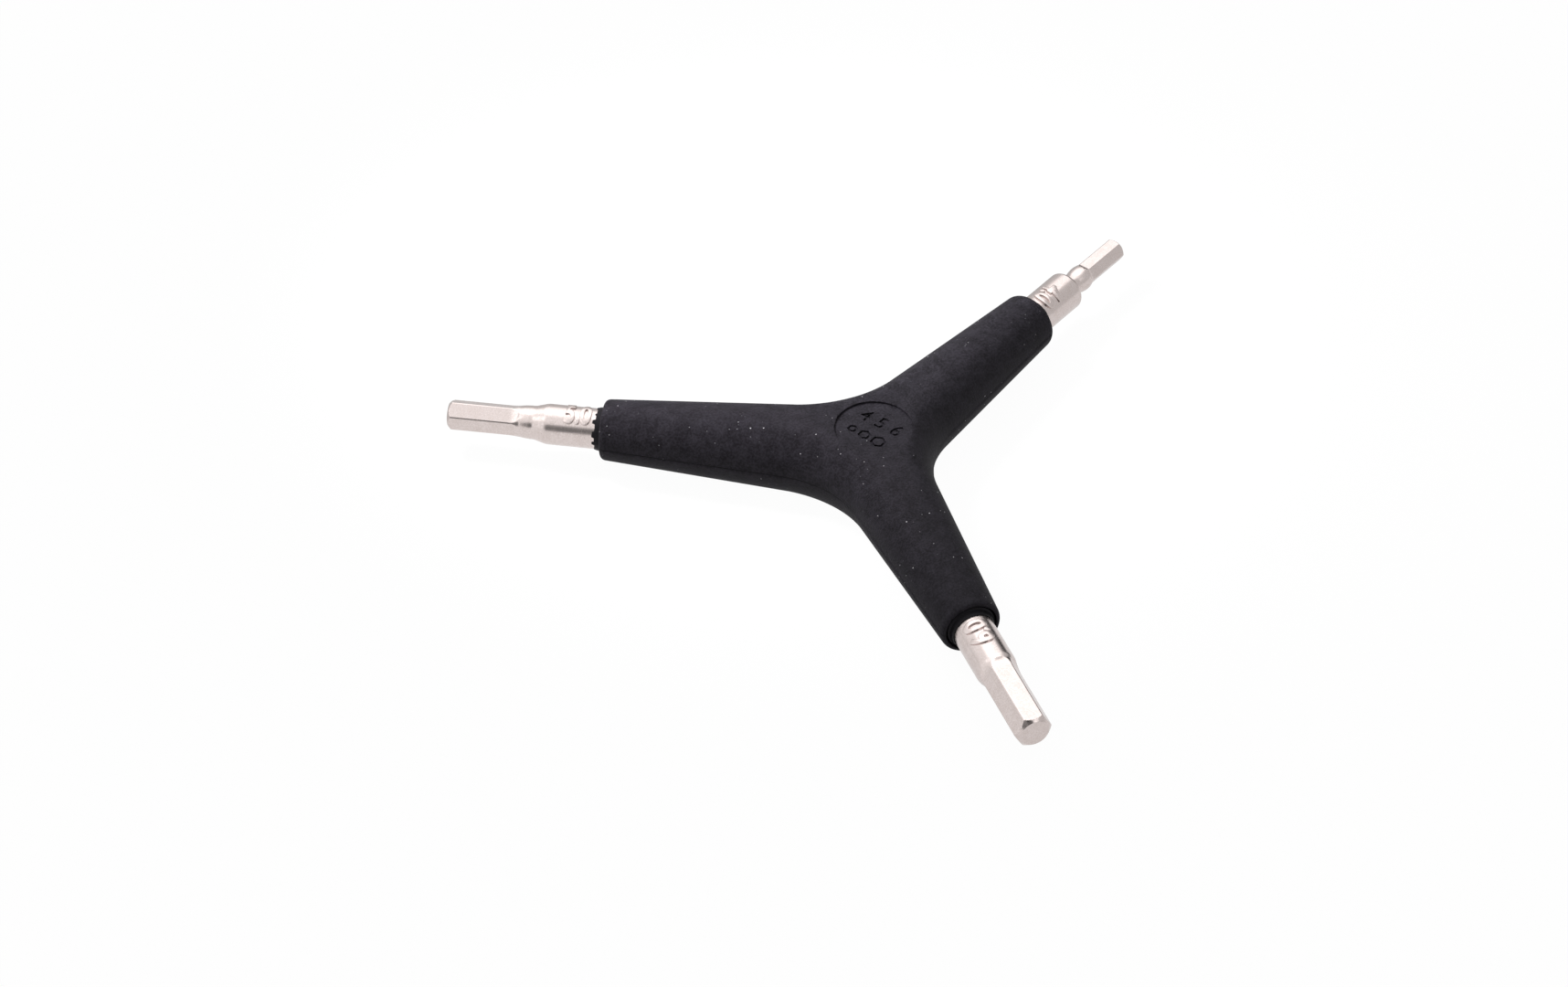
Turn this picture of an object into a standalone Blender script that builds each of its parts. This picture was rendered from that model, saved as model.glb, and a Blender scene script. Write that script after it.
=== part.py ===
"""Three-way hexagon key wrench with a moulded Y handle.

Three short hexagon keys stand out of a Y-shaped handle, at 120 degrees to each other. Each key is a
round shank whose free end is swaged down to a hexagon. Its buried end has two flats, against turning,
and a groove, against pulling out. A hard Y-shaped core is moulded round the three buried ends, and its
noses show at the ends of the arms. A softer grip covers the core.

The origin is the middle of the flat underside. +Z is up, and the three key axes lie in one plane.
"""

import math

import bmesh
import bpy
from mathutils import Matrix, Vector

# Grip, outside
ARM_REACH = 0.0483          # centre of the Y to the end face of an arm
ARM_END_RADIUS = 0.0055     # round section at the end face
ARM_TAPER_SHARE = 0.0678    # growth of the section's radius for each unit of length inwards
HUB_HALF_HEIGHT = 0.0074    # mid plane to the flat top, and to the flat underside
CROTCH_RADIUS = 0.0198      # plan fillet between two arms, on the parting line
RIM_RADIUS = 0.0007         # rounding of the grip's end edges
MEDALLION_RADIUS = 0.0070   # round sunk field on top of the hub
MEDALLION_DEPTH = 0.0003
MEDALLION_MIDDLE = (0.0006, -0.0010)

# Core
GRIP_WALL = 0.0009          # thickness of the grip over the core
CORE_GAP = 0.0003           # gap between the core and the grip
SOCKET_GAP = 0.0002         # gap between a key and its socket in the core
NOSE_OUT = 0.0012           # how far the core's noses stand out of the grip
NOSE_LIP = 0.0002           # wall of a nose at its end, round the key

# Keys, sizes that the three share
SHANK_RADIUS = 0.0037
KEY_ROOT = 0.0090           # centre of the Y to a key's buried end
ROOT_CHAMFER = 0.0005
ROOT_FLATS_LENGTH = 0.0080
ROOT_FLATS_ACROSS = 0.0060
GROOVE_AT = 0.0220          # centre of the Y to the middle of the retaining groove
GROOVE_WIDTH = 0.0030
GROOVE_DEPTH = 0.0006
TIP_CHAMFER_ANGLE = math.radians(30)

# Key for 4 mm screws
KEY4_FLATS = 0.0040         # across the flats of the hexagon
KEY4_REACH = 0.0750         # centre of the Y to the tip face
KEY4_HEX = 0.0098           # length of the full hexagon
KEY4_RUNOUT = 0.0012        # length in which the flats run out into the round neck
KEY4_NECK_RADIUS = 0.0024
KEY4_SHOULDER_AT = 0.0594   # centre of the Y to where the shank begins to narrow
KEY4_SHOULDER = 0.0008

# Key for 5 mm screws
KEY5_FLATS = 0.0050
KEY5_REACH = 0.0768
KEY5_HEX = 0.0132
KEY5_RUNOUT = 0.0016
KEY5_NECK_RADIUS = 0.00296
KEY5_SHOULDER_AT = 0.0586
KEY5_SHOULDER = 0.0017

# Key for 6 mm screws
KEY6_FLATS = 0.0060
KEY6_REACH = 0.0760
KEY6_HEX = 0.0142
KEY6_RUNOUT = 0.0014
KEY6_NECK_RADIUS = 0.00352
KEY6_SHOULDER_AT = 0.0594
KEY6_SHOULDER = 0.0006

# Directions
ARM_COUNT = 3
ARM_STEP = math.tau / ARM_COUNT
KEY4_HEADING = math.radians(30)
KEY5_HEADING = KEY4_HEADING + ARM_STEP
KEY6_HEADING = KEY4_HEADING + 2 * ARM_STEP
HEX_HALF_TURN = math.tau / 12
FLAT_UP = 0.0
CORNER_UP = HEX_HALF_TURN

# How finely the round shapes are drawn
GRIP_STEPS = 8              # from an arm's ridge down to its parting line
CORE_STEPS = 6
CROTCH_STEPS = 4            # from the middle of a crotch to its tangent point
FLAT_STEPS = 3              # from the tangent point to the tip of the flat, where the arm is round
RIM_STEPS = 3
KEY_SIDES = 24
CHAMFER_STEPS = 2
DISC_SIDES = 48

# Modelling tolerances
CUT_OVERRUN = 0.0010        # how far a cutter runs past what it cuts
WELD_DISTANCE = 0.000001
SHARP_ANGLE = math.radians(35)
FLAT_EDGE_ROUNDS = 20       # rounds in which the flat's edge is found

# The round arms are as high as the hub here, so the flats end in a tip
FLAT_TIP = ARM_REACH - (HUB_HALF_HEIGHT - ARM_END_RADIUS) / ARM_TAPER_SHARE


def new_material(name, colour, roughness, metallic):
    """A plain Principled material."""
    material = bpy.data.materials.new(name)
    material.use_nodes = True
    shader = material.node_tree.nodes["Principled BSDF"]
    shader.inputs["Base Color"].default_value = (*colour, 1.0)
    shader.inputs["Roughness"].default_value = roughness
    shader.inputs["Metallic"].default_value = metallic
    return material


def new_object(name, builder, parent, material=None):
    """An object from a bmesh, welded, facing outwards and carried by its parent."""
    bmesh.ops.remove_doubles(builder, verts=builder.verts[:], dist=WELD_DISTANCE)
    bmesh.ops.recalc_face_normals(builder, faces=builder.faces[:])
    mesh = bpy.data.meshes.new(name)
    builder.to_mesh(mesh)
    builder.free()
    mesh.shade_smooth()
    mesh.set_sharp_from_angle(angle=SHARP_ANGLE)
    if material:
        mesh.materials.append(material)
    obj = bpy.data.objects.new(name, mesh)
    bpy.context.scene.collection.objects.link(obj)
    obj.parent = parent
    return obj


def subtract(obj, cutter):
    """Cut one object with another, and hide the cutter."""
    cutter.hide_render = True
    cutter.display_type = "WIRE"
    cut = obj.modifiers.new("cut_" + cutter.name, "BOOLEAN")
    cut.operation = "DIFFERENCE"
    cut.object = cutter


def skin_rings(builder, rings):
    """Join closed rings of points, one after the other, with four-sided faces."""
    rows = [[builder.verts.new(point) for point in ring] for ring in rings]
    for row, following in zip(rows, rows[1:]):
        for here, corner in enumerate(row):
            beyond = (here + 1) % len(row)
            builder.faces.new((corner, row[beyond], following[beyond], following[here]))
    return rows


def arm_half_width(along, inset):
    """Half the width of an arm, so far along its axis, of the skin that lies inset inwards."""
    inwards = max(ARM_REACH - along, 0.0)
    return ARM_END_RADIUS + ARM_TAPER_SHARE * inwards - inset


def crotch_point(turn, share, inset):
    """A plan point on the crotch arc of one nested outline.

    Nested outlines run from nearly the arms' axes (share 0) to the real outline (share 1). Each has
    straight sides along the arms. An arc joins them, and it meets the line midway between two arms
    squarely. The turn runs from 0, on that line, to 1, where the arc touches the straight side.
    """
    slope = share * ARM_TAPER_SHARE
    half_step = ARM_STEP / 2
    radius = CROTCH_RADIUS + inset
    side_at_centre = share * arm_half_width(0.0, inset)
    distance = radius * math.hypot(1.0, slope) + side_at_centre
    distance /= math.sin(half_step) + slope * math.cos(half_step)
    first_angle = math.pi + half_step
    last_angle = 1.5 * math.pi - math.atan(slope)
    angle = first_angle + (last_angle - first_angle) * turn
    along = distance * math.cos(half_step) + radius * math.cos(angle)
    across = distance * math.sin(half_step) + radius * math.sin(angle)
    return along, across


def crotch_place(turn, share, inset):
    """A plan point on a crotch arc, and the radius of the arm's round section there."""
    along, across = crotch_point(turn, share, inset)
    middle = arm_half_width(crotch_point(0.0, share, inset)[0], inset)
    tangent = arm_half_width(crotch_point(1.0, share, inset)[0], inset)
    return along, across, tangent + (middle - tangent) * (1.0 - turn * turn)


def straight_place(part, share, inset):
    """A plan point on a straight side, between its tangent point (part 0) and the flat's tip."""
    start = crotch_point(1.0, share, inset)[0]
    along = start + (FLAT_TIP - start) * part
    radius = arm_half_width(along, inset)
    return along, share * radius, radius


def hub_ring(place, inset, steps):
    """One closed ring across an arm: round sides, and flats on top and underneath where they reach.

    The place function gives, for a share of the width, the plan point and the round section's radius.
    """
    top = HUB_HALF_HEIGHT - inset
    edge = math.pi / 4
    for _ in range(FLAT_EDGE_ROUNDS):
        edge = math.asin(min(top / place(math.cos(edge))[2], 1.0))
    quarter = []
    for index in range(steps + 1):
        angle = edge * index / steps
        along, across, radius = place(math.cos(angle))
        quarter.append((along, across, min(radius * math.sin(angle), top)))
    upper = quarter + [(x, -y, z) for x, y, z in reversed(quarter)]
    lower = [(x, -y, -z) for x, y, z in quarter[1:]] + [(x, y, -z) for x, y, z in reversed(quarter[1:])]
    return [Vector(point) for point in upper + lower]


def y_body(inset, steps, end_rings):
    """A closed Y: three arms that meet in a filleted hub. end_rings holds (along, radius) pairs."""
    rings = []
    for index in range(CROTCH_STEPS + 1):
        turn = index / CROTCH_STEPS
        rings.append(hub_ring(lambda share: crotch_place(turn, share, inset), inset, steps))
    for index in range(1, FLAT_STEPS + 1):
        part = index / FLAT_STEPS
        rings.append(hub_ring(lambda share: straight_place(part, share, inset), inset, steps))
    for along, radius in end_rings:
        rings.append(hub_ring(lambda share: (along, share * radius, radius), inset, steps))

    builder = bmesh.new()
    for arm in range(ARM_COUNT):
        turn_arm = Matrix.Rotation(KEY4_HEADING + arm * ARM_STEP, 3, "Z")
        skin_rings(builder, [[turn_arm @ point for point in ring] for ring in rings])
    bmesh.ops.remove_doubles(builder, verts=builder.verts[:], dist=WELD_DISTANCE)
    open_edges = [edge for edge in builder.edges if edge.is_boundary]
    bmesh.ops.holes_fill(builder, edges=open_edges)
    return builder


def grip_end_rings():
    """The end of a grip arm: the cone runs to a rounded rim round the flat end face."""
    rim_start = ARM_REACH - RIM_RADIUS
    cone_radius = arm_half_width(rim_start, 0.0)
    rings = []
    for index in range(RIM_STEPS + 1):
        angle = math.pi / 2 * index / RIM_STEPS
        along = rim_start + RIM_RADIUS * math.sin(angle)
        rings.append((along, cone_radius - RIM_RADIUS * (1.0 - math.cos(angle))))
    return rings


def mouth_end_rings():
    """The end of the grip's hollow: the cone goes on as a round mouth, past the end face."""
    mouth_start = ARM_REACH - RIM_RADIUS
    mouth_radius = arm_half_width(mouth_start, GRIP_WALL)
    return [(mouth_start, mouth_radius), (ARM_REACH + CUT_OVERRUN, mouth_radius)]


def nose_end_rings(inset):
    """The end of a core arm: the cone goes on as a nose that narrows to a thin lip round the key."""
    nose_start = ARM_REACH - RIM_RADIUS
    nose_radius = arm_half_width(nose_start, inset)
    lip_radius = SHANK_RADIUS + SOCKET_GAP + NOSE_LIP
    return [(nose_start, nose_radius), (ARM_REACH, nose_radius), (ARM_REACH + NOSE_OUT, lip_radius)]


def key_ring(along, radius, hex_half=None, flat_half=None):
    """One closed ring of a key: a circle, cut by six flats or by two where those are given."""
    ring = []
    for index in range(KEY_SIDES):
        angle = math.tau * index / KEY_SIDES
        reach = radius
        if hex_half:
            from_flat = (angle + HEX_HALF_TURN) % (2 * HEX_HALF_TURN) - HEX_HALF_TURN
            reach = min(reach, hex_half / math.cos(from_flat))
        if flat_half and abs(math.cos(angle)) * reach > flat_half:
            reach = flat_half / abs(math.cos(angle))
        ring.append(Vector((along, reach * math.sin(angle), reach * math.cos(angle))))
    return ring


def buried_rings(clearance):
    """The buried end of a key, or of its socket when a clearance is given."""
    root = KEY_ROOT - clearance
    outer = SHANK_RADIUS + clearance
    bottom = outer - GROOVE_DEPTH
    flat_half = ROOT_FLATS_ACROSS / 2 + clearance
    flats_end = KEY_ROOT + ROOT_FLATS_LENGTH - clearance
    groove_start = GROOVE_AT - GROOVE_WIDTH / 2 + clearance
    groove_end = GROOVE_AT + GROOVE_WIDTH / 2 - clearance
    return [
        key_ring(root, outer - ROOT_CHAMFER, flat_half=flat_half),
        key_ring(root + ROOT_CHAMFER, outer, flat_half=flat_half),
        key_ring(flats_end, outer, flat_half=flat_half),
        key_ring(flats_end, outer),
        key_ring(groove_start, outer),
        key_ring(groove_start, bottom),
        key_ring(groove_end, bottom),
        key_ring(groove_end, outer),
    ]


def working_rings(flats, reach, hex_length, runout, neck_radius, shoulder_at, shoulder):
    """The working end of a key: shoulder, round neck, hexagon and chamfered tip."""
    hex_half = flats / 2
    corner_radius = hex_half / math.cos(HEX_HALF_TURN)
    hex_start = reach - hex_length
    rings = [
        key_ring(shoulder_at, SHANK_RADIUS),
        key_ring(shoulder_at + shoulder, neck_radius),
        key_ring(hex_start - runout, neck_radius),
        key_ring(hex_start, neck_radius, hex_half),
    ]
    drop = corner_radius - hex_half
    chamfer = drop / math.tan(TIP_CHAMFER_ANGLE)
    for index in range(CHAMFER_STEPS + 1):
        part = index / CHAMFER_STEPS
        rings.append(key_ring(reach - chamfer * (1.0 - part), corner_radius - drop * part, hex_half))
    return rings


def closed_rod(rings):
    """A closed body from rings along one axis."""
    builder = bmesh.new()
    rows = skin_rings(builder, rings)
    builder.faces.new(rows[0])
    builder.faces.new(rows[-1])
    return builder


def make_key(name, heading, roll, parent, material, **sizes):
    """One hexagon key, lying along its arm."""
    key = new_object(name, closed_rod(buried_rings(0.0) + working_rings(**sizes)), parent, material)
    key.rotation_euler = (roll, 0.0, heading)
    return key


def make_core(parent, material, key_turns):
    """The hard Y that holds the keys, with one socket for each of them."""
    inset = GRIP_WALL + CORE_GAP
    body = y_body(inset, CORE_STEPS, nose_end_rings(inset))
    core = new_object("handle_core", body, parent, material)
    mouth = ARM_REACH + NOSE_OUT + CUT_OVERRUN
    for name, heading, roll in key_turns:
        rings = buried_rings(SOCKET_GAP) + [key_ring(mouth, SHANK_RADIUS + SOCKET_GAP)]
        socket = new_object("socket_for_" + name, closed_rod(rings), parent)
        socket.rotation_euler = (roll, 0.0, heading)
        subtract(core, socket)
    return core


def make_grip(parent, material):
    """The soft outer Y, hollow for the core, with a sunk round field on its top."""
    grip = new_object("handle_grip", y_body(0.0, GRIP_STEPS, grip_end_rings()), parent, material)
    hollow = new_object("grip_hollow", y_body(GRIP_WALL, CORE_STEPS, mouth_end_rings()), parent)
    subtract(grip, hollow)

    builder = bmesh.new()
    floor = Matrix.Translation((*MEDALLION_MIDDLE, HUB_HALF_HEIGHT - MEDALLION_DEPTH))
    floor @= Matrix.Rotation(math.pi / DISC_SIDES, 4, "Z")
    circle = bmesh.ops.create_circle(
        builder, cap_ends=True, segments=DISC_SIDES, radius=MEDALLION_RADIUS, matrix=floor
    )
    lift = Vector((0.0, 0.0, MEDALLION_DEPTH + CUT_OVERRUN))
    face = circle["verts"][0].link_faces[0]
    raised = bmesh.ops.extrude_face_region(builder, geom=[face], use_keep_orig=True)
    top = [item for item in raised["geom"] if isinstance(item, bmesh.types.BMVert)]
    bmesh.ops.translate(builder, verts=top, vec=lift)
    subtract(grip, new_object("medallion_field", builder, parent))
    return grip


def build():
    """Clear the scene and make the wrench."""
    for obj in list(bpy.data.objects):
        bpy.data.objects.remove(obj, do_unlink=True)

    grip_rubber = new_material("grip_rubber", (0.020, 0.019, 0.022), 0.62, 0.0)
    core_plastic = new_material("core_plastic", (0.012, 0.012, 0.013), 0.45, 0.0)
    plated_steel = new_material("plated_steel", (0.62, 0.56, 0.53), 0.28, 1.0)

    wrench = bpy.data.objects.new("wrench", None)
    wrench.location = (0.0, 0.0, HUB_HALF_HEIGHT)
    bpy.context.scene.collection.objects.link(wrench)

    make_key(
        "hex_key_4mm", KEY4_HEADING, FLAT_UP, wrench, plated_steel, flats=KEY4_FLATS,
        reach=KEY4_REACH, hex_length=KEY4_HEX, runout=KEY4_RUNOUT, neck_radius=KEY4_NECK_RADIUS,
        shoulder_at=KEY4_SHOULDER_AT, shoulder=KEY4_SHOULDER,
    )
    make_key(
        "hex_key_5mm", KEY5_HEADING, CORNER_UP, wrench, plated_steel, flats=KEY5_FLATS,
        reach=KEY5_REACH, hex_length=KEY5_HEX, runout=KEY5_RUNOUT, neck_radius=KEY5_NECK_RADIUS,
        shoulder_at=KEY5_SHOULDER_AT, shoulder=KEY5_SHOULDER,
    )
    make_key(
        "hex_key_6mm", KEY6_HEADING, FLAT_UP, wrench, plated_steel, flats=KEY6_FLATS,
        reach=KEY6_REACH, hex_length=KEY6_HEX, runout=KEY6_RUNOUT, neck_radius=KEY6_NECK_RADIUS,
        shoulder_at=KEY6_SHOULDER_AT, shoulder=KEY6_SHOULDER,
    )
    key_turns = [
        ("4mm", KEY4_HEADING, FLAT_UP),
        ("5mm", KEY5_HEADING, CORNER_UP),
        ("6mm", KEY6_HEADING, FLAT_UP),
    ]
    make_core(wrench, core_plastic, key_turns)
    make_grip(wrench, grip_rubber)


build()
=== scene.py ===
"""Looks of the three-way hexagon key wrench with a moulded Y handle.

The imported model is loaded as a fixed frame. The soft grip, the hard core inside it and the three plated
keys are then modelled over it at the same sizes, with their mould and press marks, and given their
finishes. The stage is a pale floor with soft studio light.
"""

import math

import bmesh
import bpy
from bpy.props import FloatProperty, FloatVectorProperty, PointerProperty
from mathutils import Matrix, Vector


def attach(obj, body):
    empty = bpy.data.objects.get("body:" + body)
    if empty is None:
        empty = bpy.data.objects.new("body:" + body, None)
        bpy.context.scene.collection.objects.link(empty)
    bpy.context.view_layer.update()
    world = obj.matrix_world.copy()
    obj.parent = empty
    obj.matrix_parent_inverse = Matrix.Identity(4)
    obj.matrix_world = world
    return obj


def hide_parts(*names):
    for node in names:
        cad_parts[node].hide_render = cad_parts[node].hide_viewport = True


bl_info = {
    "name": "Y Wrench",
    "version": (1, 0, 0),
    "blender": (4, 5, 0),
    "location": "View3D > Sidebar > Y Wrench",
    "description": "Models a three-way hexagon key wrench over its packed CAD frame",
    "category": "Mesh",
}

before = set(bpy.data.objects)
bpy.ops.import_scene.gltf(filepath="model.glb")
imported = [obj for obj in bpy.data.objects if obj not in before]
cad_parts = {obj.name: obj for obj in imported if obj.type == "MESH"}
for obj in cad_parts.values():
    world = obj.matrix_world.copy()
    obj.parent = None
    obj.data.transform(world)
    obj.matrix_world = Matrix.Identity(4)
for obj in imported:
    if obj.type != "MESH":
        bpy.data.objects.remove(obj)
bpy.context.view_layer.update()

ROOT_BODY = "root"
ARM_COUNT = 3
ARM_STEP = math.tau / ARM_COUNT
KEY4_HEADING = math.radians(30)
KEY5_HEADING = KEY4_HEADING + ARM_STEP
KEY6_HEADING = KEY4_HEADING + 2 * ARM_STEP
HEX_HALF_TURN = math.tau / 12
UP = Vector((0.0, 0.0, 1.0))

# How finely the shapes are drawn
SECTION_STEP = 3.0
CROTCH_STEPS = 16
FLAT_STEPS = 8
ARM_STEPS = 20
RIM_STEPS = 7
ROUNDING_STEPS = 6
KEY_SIDES = 144
CHAMFER_STEPS = 8
HEX_STEPS = 10
RUNOUT_STEPS = 14
NECK_STEPS = 10
FIELD_SIDES = 144

# Tolerances, how far a cutter stands out of a face, and the angles up to which edges are smooth
WELD = 0.000002
EDGE_TOUCH = 0.0000005
CUT_OVERRUN = 0.001
MOULDED_SMOOTH = math.radians(38)
PLATED_SMOOTH = math.radians(24)
FIGURE_SMOOTH = math.radians(50)

# Parting line: start along an arm, length in which it grows, how much and how fast it wanders, the
# groove's middle below the line, and where its painted shade is full and gone as shares of that
SEAM_START = 0.0062
SEAM_GROWTH = 0.024
SEAM_WANDER = 0.2
SEAM_WAVES = 900.0
SEAM_GROOVE = 0.00014
SEAM_SHADE_FULL = 0.6
SEAM_SHADE_GONE = 1.5

# Angles of an arm's section beside the parting line in degrees, and shares of the seam's depth there
SEAM_ANGLES = (0.0, 0.7, 1.3, 2.2)
SEAM_SHARES = {1.3: 0.2, 0.7: 0.45, 0.0: 0.3, -0.7: -0.9, -1.3: -1.0, -2.2: -0.7}

# Rings of the grip's mouth: how far in from the arm's end, and how much wider than the mouth
MOUTH_RINGS = ((0.00002, 0.00012), (0.00006, 0.00004), (0.00018, 0.0))

# Sunk field: bevel of its rim, and how near to the rim's height and radius an edge is bevelled
FIELD_BEVEL = 0.00008
RIM_HEIGHT_TOUCH = 0.0001
RIM_RADIUS_TOUCH = 0.00002

# Field's figures and hexagons: text or radius and place to the right, each row's place upwards
FIELD_FIGURES = (("4", -0.0032), ("5", 0.0002), ("6", 0.0036))
FIELD_HEXAGONS = ((0.0010, -0.0030), (0.00125, -0.0003), (0.0015, 0.0028))
FIGURE_ROW = 0.0019
HEXAGON_ROW = -0.0023
HEXAGON_LINE = 0.00042

# A figure's height as a share of its font's size
CAPITAL_SHARE = 0.72

# Small lengths of a nose: bevel of the core's end, flares of the foot, worn end, lip and socket's mouth
NOSE_BEVEL = 0.00005
NOSE_FLARE = 0.00012
NOSE_LOW_FLARE = 0.00003
NOSE_WORN_LENGTH = 0.00028
NOSE_WORN_DEPTH = 0.00004
NOSE_LIP_DEPTH = 0.00004
NOSE_MOUTH = 0.002

# Torn flash on the 5 mm key's nose: degrees round the key, half the width in degrees, and length
FLASH_TEETH = ((118, 8, 0.00025), (84, 4, 0.00020), (60, 5, 0.00050), (24, 9, 0.00035), (20, 5, 0.00012),
               (-5, 5, 0.00045), (-38, 10, 0.00020), (-100, 14, 0.00025), (-150, 9, 0.00030))

# Length at a nose's end that a tooth pulls along
FLASH_BAND = 0.00015

# Roundings of a key's outline and figure, the most that one takes of an edge, and the plain shank
# drawn beside its shoulder and groove
TIP_ROUNDING = 0.00004
NECK_ROUNDING = 0.0010
SHOULDER_ROUNDING = 0.00050
GROOVE_ROUNDING = 0.0001
MARK_ROUNDING = 0.00012
ROUNDING_SHARE = 0.49
SHOULDER_MARGIN = 0.0030
GROOVE_MARGIN = 0.0040

# Share of a neck that is straight beside the shoulder, and how early the rest swells
NECK_STRAIGHT_SHARE = 0.3
NECK_SWELL_POWER = 0.75

# Fine grain's share in the mottle, and the scale of the clouds in which dust gathers
GRAIN_SHARE = 0.60
DUST_CLOUD_SCALE = 130.0

# Camera of the photograph: place in metres, rotation in degrees, lens and sensor in millimetres
CAMERA_PLACE = (-0.2398824, -0.6023260, 0.5802530)
CAMERA_TURN = (48.0872927, 0.5879057, -20.8977089)
CAMERA_LENS = 110.75
CAMERA_SENSOR = 36.0

# Light tent: direction, outer and inner half angle in degrees, and the light outside and inside
TENT = ((-0.60, 0.0, 0.80), 84.0, 37.0, 0.69, 1.15)
PANELS = (
    ((0.148, 0.554, 0.819), 38.0, 24.0, 0.0, 0.69),
    ((0.394, -0.630, 0.669), 17.0, 8.0, 0.0, 0.8),
    ((-0.610, 0.086, 0.788), 17.0, 8.0, 0.0, 0.7),
)
FLAGS = (
    ((-0.579, -0.741, 0.342), 24.0, 9.0, 1.0, 0.18),
    ((-0.110, -0.780, 0.616), 21.0, 10.0, 1.0, 0.05),
    ((0.731, 0.682, 0.0), 27.0, 13.0, 1.0, 0.04),
)

# How white the camera sees the floor, and how its mirror image dims to the right and to the rear
FLOOR_WHITE_SHARE = 0.97
FLOOR_DIM_RIGHT = (-0.055, -0.005, 0.0, -0.12)
FLOOR_DIM_REAR = (0.036, 0.050, 0.0, -0.28)


def length(name, description, default):
    """A distance in metres that can be changed in the sidebar."""
    return FloatProperty(
        name=name, description=description, default=default, min=0.0, precision=5,
        subtype="DISTANCE", unit="LENGTH",
    )


def slope(name, description, default):
    """An angle that can be changed in the sidebar."""
    return FloatProperty(
        name=name, description=description, default=default, min=0.0, subtype="ANGLE", unit="ROTATION",
    )


def tint(name, description, default):
    """A linear colour that can be changed in the sidebar."""
    return FloatVectorProperty(
        name=name, description=description, default=default, size=3, min=0.0, max=1.0, subtype="COLOR",
    )


def position(name, description, default):
    """A place in metres that can be changed in the sidebar."""
    return FloatVectorProperty(
        name=name, description=description, default=default, size=3, precision=5,
        subtype="TRANSLATION", unit="LENGTH",
    )


def share(name, description, default):
    """A plain number from 0 to 1."""
    return FloatProperty(name=name, description=description, default=default, min=0.0, max=1.0)


class GripSizes(bpy.types.PropertyGroup):
    """Sizes of the soft outer Y"""

    arm_reach: length("Arm reach", "Middle of the Y to the end of an arm", 0.0483)
    end_radius: length("End radius", "Round section at the end of an arm", 0.0055)
    taper: share("Taper", "Growth of the section's radius for each unit of length inwards", 0.0678)
    half_height: length("Half height", "Key axes to the flat top, and to the underside", 0.0074)
    crotch_radius: length("Crotch radius", "Plan fillet between two arms", 0.0198)
    flat_blend: length("Flat blend", "How softly the flats roll over into the round sides", 0.0007)
    rim_length: length("Rim length", "Length along the arm in which its end edge is rounded", 0.0011)
    rim_drop: length("Rim drop", "How far the rounded edge narrows the arm's end", 0.0007)
    wall: length("Wall", "Thickness of the soft layer", 0.0009)
    seam_depth: length("Seam depth", "Depth of the groove along the mould's parting line", 0.00020)
    field_radius: length("Field radius", "Round sunk field on the top", 0.0070)
    field_depth: length("Field depth", "Depth of the sunk field", 0.0004)
    field_middle: position("Field middle", "Middle of the field, seen from above", (0.0006, -0.0010, 0.0))
    figure_height: length("Figure height", "Height of the figures sunk into the field", 0.0029)
    figure_weight: length("Figure weight", "How much the figures' lines are thickened", 0.00004)
    figure_depth: length("Figure depth", "How deep the figures are sunk into the field", 0.00035)


class CoreSizes(bpy.types.PropertyGroup):
    """Sizes of the hard inner Y"""

    gap: length("Gap", "Between the core and the soft layer", 0.0003)
    socket_gap: length("Socket gap", "Between a key and its socket", 0.0002)
    nose_out: length("Nose length", "How far a nose stands out of the grip", 0.0011)
    nose_wall: length("Nose wall", "Thickness of a nose round the key", 0.00026)
    nose_lip: length("Nose lip", "Wall of a nose at its end", 0.00010)
    flash: length("Flash", "Raggedness of the moulded edge round a key", 0.00005)


def key_sizes(flats, reach, hex_length, runout, neck_tip, neck_root, neck_bulge, shoulder_at, shoulder):
    """The properties of one key, with its own defaults."""
    return {
        "flats": length("Across flats", "Width of the hexagon", flats),
        "reach": length("Reach", "Middle of the Y to the tip", reach),
        "hex_length": length("Hexagon", "Length of the full hexagon", hex_length),
        "runout": length("Run-out", "Length in which the flats run out", runout),
        "neck_tip": length("Neck, outer", "Radius of the neck beside the hexagon", neck_tip),
        "neck_root": length("Neck, inner", "Radius of the neck beside the shoulder", neck_root),
        "neck_bulge": length("Neck bulge", "How far the neck swells between its ends", neck_bulge),
        "shoulder_at": length("Shoulder at", "Middle of the Y to the shoulder", shoulder_at),
        "shoulder": length("Shoulder", "Length of the shoulder", shoulder),
    }


class Key4Sizes(bpy.types.PropertyGroup):
    """Sizes of the key for 4 mm screws"""

    __annotations__ = key_sizes(
        flats=0.0040, reach=0.0750, hex_length=0.0098, runout=0.0009, neck_tip=0.00234,
        neck_root=0.00206, neck_bulge=0.00014, shoulder_at=0.0594, shoulder=0.0009,
    )


class Key5Sizes(bpy.types.PropertyGroup):
    """Sizes of the key for 5 mm screws"""

    __annotations__ = key_sizes(
        flats=0.0050, reach=0.0768, hex_length=0.0112, runout=0.0021, neck_tip=0.00286,
        neck_root=0.00306, neck_bulge=0.00003, shoulder_at=0.0586, shoulder=0.0023,
    )


class Key6Sizes(bpy.types.PropertyGroup):
    """Sizes of the key for 6 mm screws"""

    __annotations__ = key_sizes(
        flats=0.0060, reach=0.0760, hex_length=0.0138, runout=0.0022, neck_tip=0.00350,
        neck_root=0.00356, neck_bulge=0.0, shoulder_at=0.0592, shoulder=0.0006,
    )


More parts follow.
